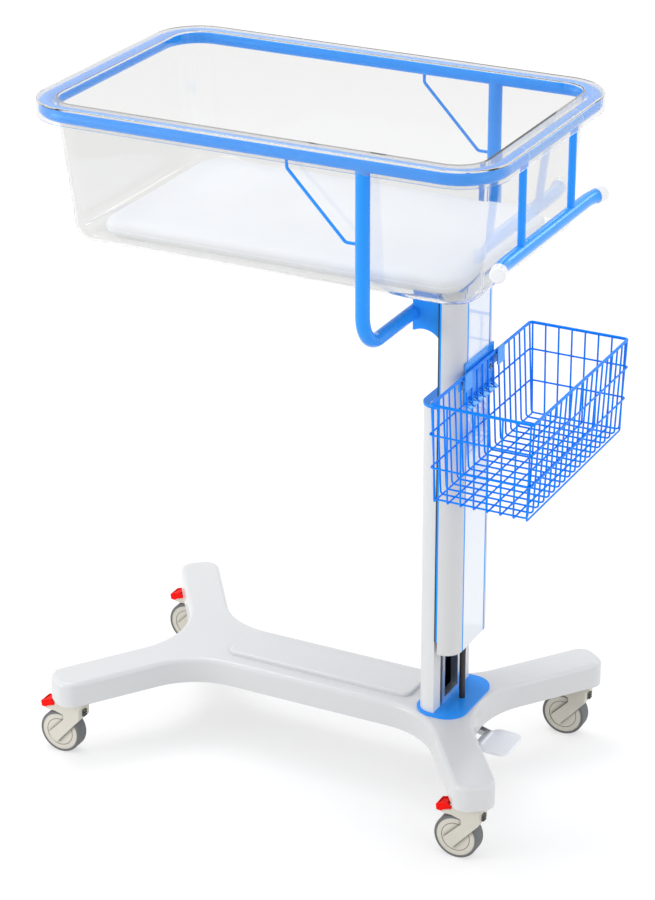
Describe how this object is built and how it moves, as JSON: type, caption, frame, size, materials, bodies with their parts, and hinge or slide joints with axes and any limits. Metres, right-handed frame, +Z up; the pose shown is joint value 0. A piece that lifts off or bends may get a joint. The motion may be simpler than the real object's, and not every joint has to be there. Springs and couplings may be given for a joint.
{
  "type": "hospital bassinet",
  "caption": "Wheeled hospital bassinet: clear tub in a blue tubular ring, telescopic column, splayed base on swivel casters, wire storage basket and push bar.",
  "frame": {"origin": "floor level, under the middle of the outline seen from above", "axes": "+Z up, +X towards the push bar, Y = 0 is the long centre plane"},
  "size_m": [0.865, 0.5074, 1.1406],
  "materials": {
    "blue_paint": "satin powder coat",
    "blue_wire": "satin powder coat",
    "blue_trim": "satin",
    "clear_plastic": "clear polished",
    "mattress_cover": "wipe-clean coated cover",
    "white_plastic": "satin moulded",
    "column_paint": "satin powder coat",
    "panel_white": "gloss",
    "rail_metal": "anodised",
    "frame_steel": "painted",
    "dark_steel": "dark coated",
    "zinc_steel": "zinc plated",
    "brass": "passivated",
    "black_rubber": "matte",
    "guide_plastic": "matte",
    "white_sleeve": "matte",
    "beige_plastic": "fine textured",
    "tyre_grey": "matte",
    "red_plastic": "satin",
    "grey_grip": "matte"
  },
  "bodies": {
    "base": {"base_frame": "frame_steel", "base_cover": "white_plastic", "foot_plate": "blue_paint", "caster_stems": "zinc_steel", "outer_column": "column_paint", "column_rail": "rail_metal", "column_cap": "blue_paint", "cap_screws": "brass", "spring_rod": "dark_steel", "release_bracket": "zinc_steel", "release_pin": "zinc_steel"},
    "release_pedal": {"release_arm": "zinc_steel", "release_pedal": "white_plastic"},
    "lift": {"inner_column": "column_paint", "front_panel": "panel_white", "trim_strips": "blue_trim", "gap_seals": "black_rubber", "guide_blocks": "guide_plastic", "spring_body": "dark_steel", "spring_anchor": "zinc_steel", "yoke_bracket": "blue_paint", "yoke_tube": "blue_paint", "ring_tube": "blue_paint", "brace_rods": "blue_paint", "joint_sleeves": "white_sleeve", "handle_top_tube": "blue_paint", "handle_struts": "blue_paint", "push_bar": "blue_paint", "bar_caps": "blue_trim", "hanger_plate": "blue_paint", "hanger_bolts": "brass"},
    "tub": {"tub": "clear_plastic"},
    "mattress": {"mattress": "mattress_cover"},
    "basket": {"basket_hoops": "blue_wire", "basket_cross_wires": "blue_wire", "basket_long_wires": "blue_wire"},
    "caster_push_left": {"caster_push_left_fork": "beige_plastic", "caster_push_left_pins": "zinc_steel", "caster_push_left_buffer": "grey_grip"},
    "caster_push_left_wheel": {"caster_push_left_hub": "beige_plastic", "caster_push_left_tyre": "tyre_grey"},
    "caster_push_left_brake": {"caster_push_left_brake": "red_plastic"},
    "caster_push_right": {"caster_push_right_fork": "beige_plastic", "caster_push_right_pins": "zinc_steel", "caster_push_right_buffer": "grey_grip"},
    "caster_push_right_wheel": {"caster_push_right_hub": "beige_plastic", "caster_push_right_tyre": "tyre_grey"},
    "caster_push_right_brake": {"caster_push_right_brake": "red_plastic"},
    "caster_far_left": {"caster_far_left_fork": "beige_plastic", "caster_far_left_pins": "zinc_steel", "caster_far_left_buffer": "grey_grip"},
    "caster_far_left_wheel": {"caster_far_left_hub": "beige_plastic", "caster_far_left_tyre": "tyre_grey"},
    "caster_far_left_brake": {"caster_far_left_brake": "red_plastic"},
    "caster_far_right": {"caster_far_right_fork": "beige_plastic", "caster_far_right_pins": "zinc_steel", "caster_far_right_buffer": "grey_grip"},
    "caster_far_right_wheel": {"caster_far_right_hub": "beige_plastic", "caster_far_right_tyre": "tyre_grey"},
    "caster_far_right_brake": {"caster_far_right_brake": "red_plastic"}
  },
  "joints": [
    {"name": "column_lift", "type": "slide", "parent": "base", "child": "lift", "axis": [0, 0, 1], "range_m": [-0.09, 0.15]},
    {"name": "release_hinge", "type": "hinge", "parent": "base", "child": "release_pedal", "pos_m": [0.245, 0, 0.0871], "axis": [0, 1, 0], "range_deg": [0, 12], "stiffness_Nm_per_rad": 2, "springref_deg": -5.73},
    {"name": "tub_lift_out", "type": "slide", "parent": "lift", "child": "tub", "axis": [0, 0, 1], "range_m": [0, 0.24]},
    {"name": "mattress_lift_out", "type": "slide", "parent": "tub", "child": "mattress", "axis": [0, 0, 1], "range_m": [0, 0.25]},
    {"name": "basket_lift_off", "type": "slide", "parent": "lift", "child": "basket", "axis": [0, 0, 1], "range_m": [0, 0.015]},
    {"name": "caster_push_left_swivel", "type": "hinge", "parent": "base", "child": "caster_push_left", "pos_m": [0.357, -0.217, 0.0921], "axis": [0, 0, 1], "continuous": true},
    {"name": "caster_push_left_roll", "type": "hinge", "parent": "caster_push_left", "child": "caster_push_left_wheel", "pos_m": [0.335, -0.217, 0.0375], "axis": [0, 1, 0], "continuous": true},
    {"name": "caster_push_left_brake_press", "type": "hinge", "parent": "caster_push_left", "child": "caster_push_left_brake", "pos_m": [0.3235, -0.217, 0.0874], "axis": [0, -1, 0], "range_deg": [0, 12]},
    {"name": "caster_push_right_swivel", "type": "hinge", "parent": "base", "child": "caster_push_right", "pos_m": [0.357, 0.217, 0.0921], "axis": [0, 0, 1], "continuous": true},
    {"name": "caster_push_right_roll", "type": "hinge", "parent": "caster_push_right", "child": "caster_push_right_wheel", "pos_m": [0.335, 0.217, 0.0375], "axis": [0, 1, 0], "continuous": true},
    {"name": "caster_push_right_brake_press", "type": "hinge", "parent": "caster_push_right", "child": "caster_push_right_brake", "pos_m": [0.3235, 0.217, 0.0874], "axis": [0, -1, 0], "range_deg": [0, 12]},
    {"name": "caster_far_left_swivel", "type": "hinge", "parent": "base", "child": "caster_far_left", "pos_m": [-0.373, -0.217, 0.0921], "axis": [0, 0, 1], "continuous": true},
    {"name": "caster_far_left_roll", "type": "hinge", "parent": "caster_far_left", "child": "caster_far_left_wheel", "pos_m": [-0.395, -0.217, 0.0375], "axis": [0, 1, 0], "continuous": true},
    {"name": "caster_far_left_brake_press", "type": "hinge", "parent": "caster_far_left", "child": "caster_far_left_brake", "pos_m": [-0.4065, -0.217, 0.0874], "axis": [0, -1, 0], "range_deg": [0, 12]},
    {"name": "caster_far_right_swivel", "type": "hinge", "parent": "base", "child": "caster_far_right", "pos_m": [-0.373, 0.217, 0.0921], "axis": [0, 0, 1], "continuous": true},
    {"name": "caster_far_right_roll", "type": "hinge", "parent": "caster_far_right", "child": "caster_far_right_wheel", "pos_m": [-0.395, 0.217, 0.0375], "axis": [0, 1, 0], "continuous": true},
    {"name": "caster_far_right_brake_press", "type": "hinge", "parent": "caster_far_right", "child": "caster_far_right_brake", "pos_m": [-0.4065, 0.217, 0.0874], "axis": [0, -1, 0], "range_deg": [0, 12]}
  ]
}
